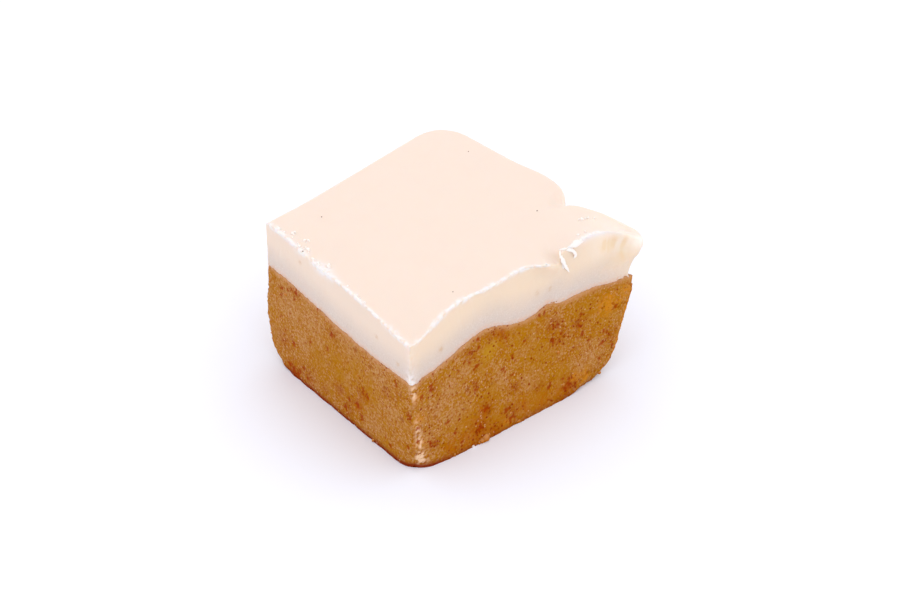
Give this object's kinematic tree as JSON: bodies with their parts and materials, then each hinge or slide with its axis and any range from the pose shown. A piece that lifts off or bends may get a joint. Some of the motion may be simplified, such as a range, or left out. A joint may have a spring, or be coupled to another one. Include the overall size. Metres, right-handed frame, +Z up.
{
  "type": "fudge",
  "caption": "Hand-cut corner piece of two-layer fudge: a grainy brown base under a smooth creamy white layer, with a lobe squeezed out past one corner.",
  "frame": {"origin": "middle of the bounding box in plan, at the foot that the fudge rests on", "axes": "+Z up; +X along the front knife cut, towards the tin wall and the lobe; +Y from the front knife cut towards the back tin wall"},
  "size_m": [0.0396, 0.0382, 0.0233],
  "materials": {
    "brown_fudge": "dull, grainy, speckled with darker grains",
    "white_fudge": "satin, smooth, creamy"
  },
  "bodies": {
    "root": {"base_layer": "brown_fudge", "white_layer": "white_fudge"}
  },
  "joints": []
}
